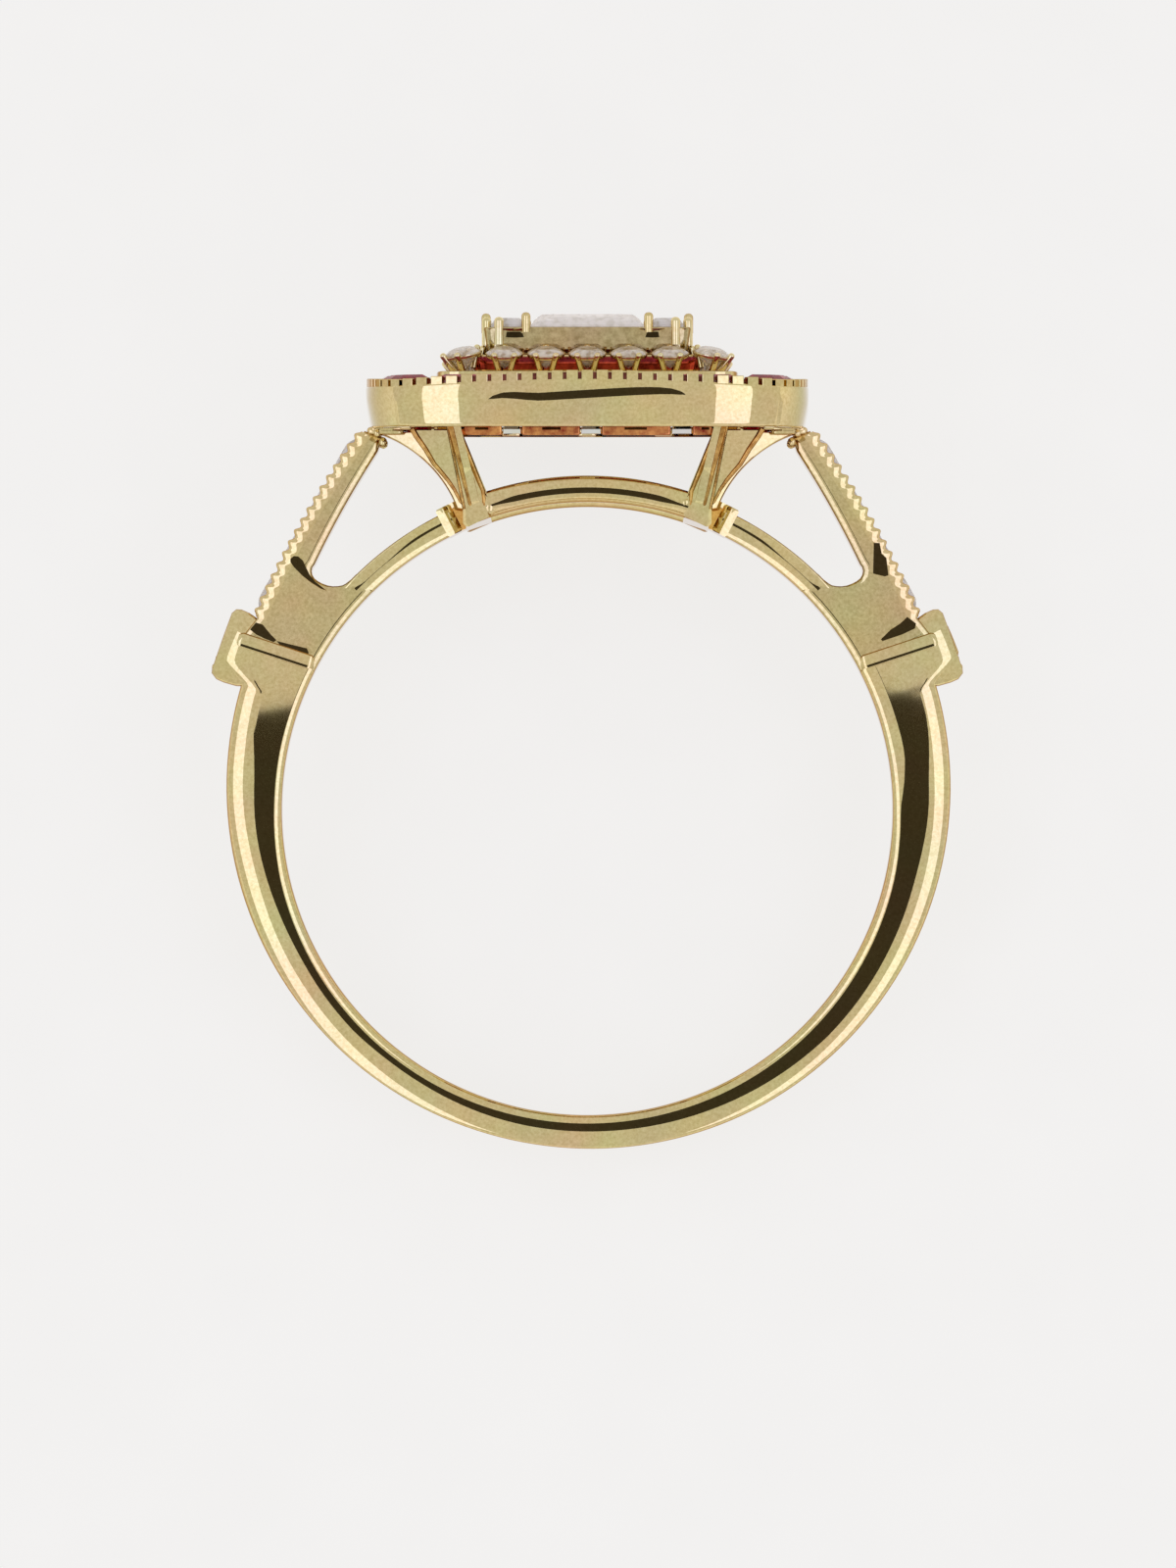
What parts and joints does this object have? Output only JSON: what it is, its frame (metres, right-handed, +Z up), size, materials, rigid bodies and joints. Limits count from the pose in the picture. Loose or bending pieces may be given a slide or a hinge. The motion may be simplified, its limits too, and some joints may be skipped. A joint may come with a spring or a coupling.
{
  "type": "halo ring",
  "caption": "Yellow gold finger ring: a raised step-cut cluster in a halo of round diamonds and a cushion frame of calibre rubies, on an open gallery with split milgrained shoulders.",
  "frame": {"origin": "on the floor, under the middle of the ring's box, with the ring lying on its side", "axes": "+Z up from the floor; +Y from the bottom of the band towards the head; +X across the head. The ring leans 13.7 degrees, so its finger hole points that far from +Z towards -Y."},
  "size_m": [0.0212, 0.024, 0.0123],
  "materials": {
    "gold": "polished yellow gold",
    "diamond": "cut and polished",
    "ruby": "cut and polished"
  },
  "bodies": {
    "root": {"gold_mount": "gold", "centre_stone": "diamond", "side_baguette_1": "diamond", "side_baguette_2": "diamond", "side_baguette_3": "diamond", "side_baguette_4": "diamond", "corner_stone_1": "diamond", "corner_stone_2": "diamond", "corner_stone_3": "diamond", "corner_stone_4": "diamond", "halo_diamonds": "diamond", "ruby_1": "ruby", "ruby_2": "ruby", "ruby_3": "ruby", "ruby_4": "ruby", "ruby_5": "ruby", "ruby_6": "ruby", "ruby_7": "ruby", "ruby_8": "ruby", "ruby_9": "ruby", "ruby_10": "ruby", "ruby_11": "ruby", "ruby_12": "ruby", "ruby_13": "ruby", "ruby_14": "ruby", "ruby_15": "ruby", "ruby_16": "ruby", "corner_ruby_1": "ruby", "corner_ruby_2": "ruby", "corner_ruby_3": "ruby", "corner_ruby_4": "ruby", "arm_diamonds_left": "diamond", "arm_diamonds_right": "diamond", "collet_stone_left": "diamond", "collet_stone_right": "diamond"}
  },
  "joints": []
}
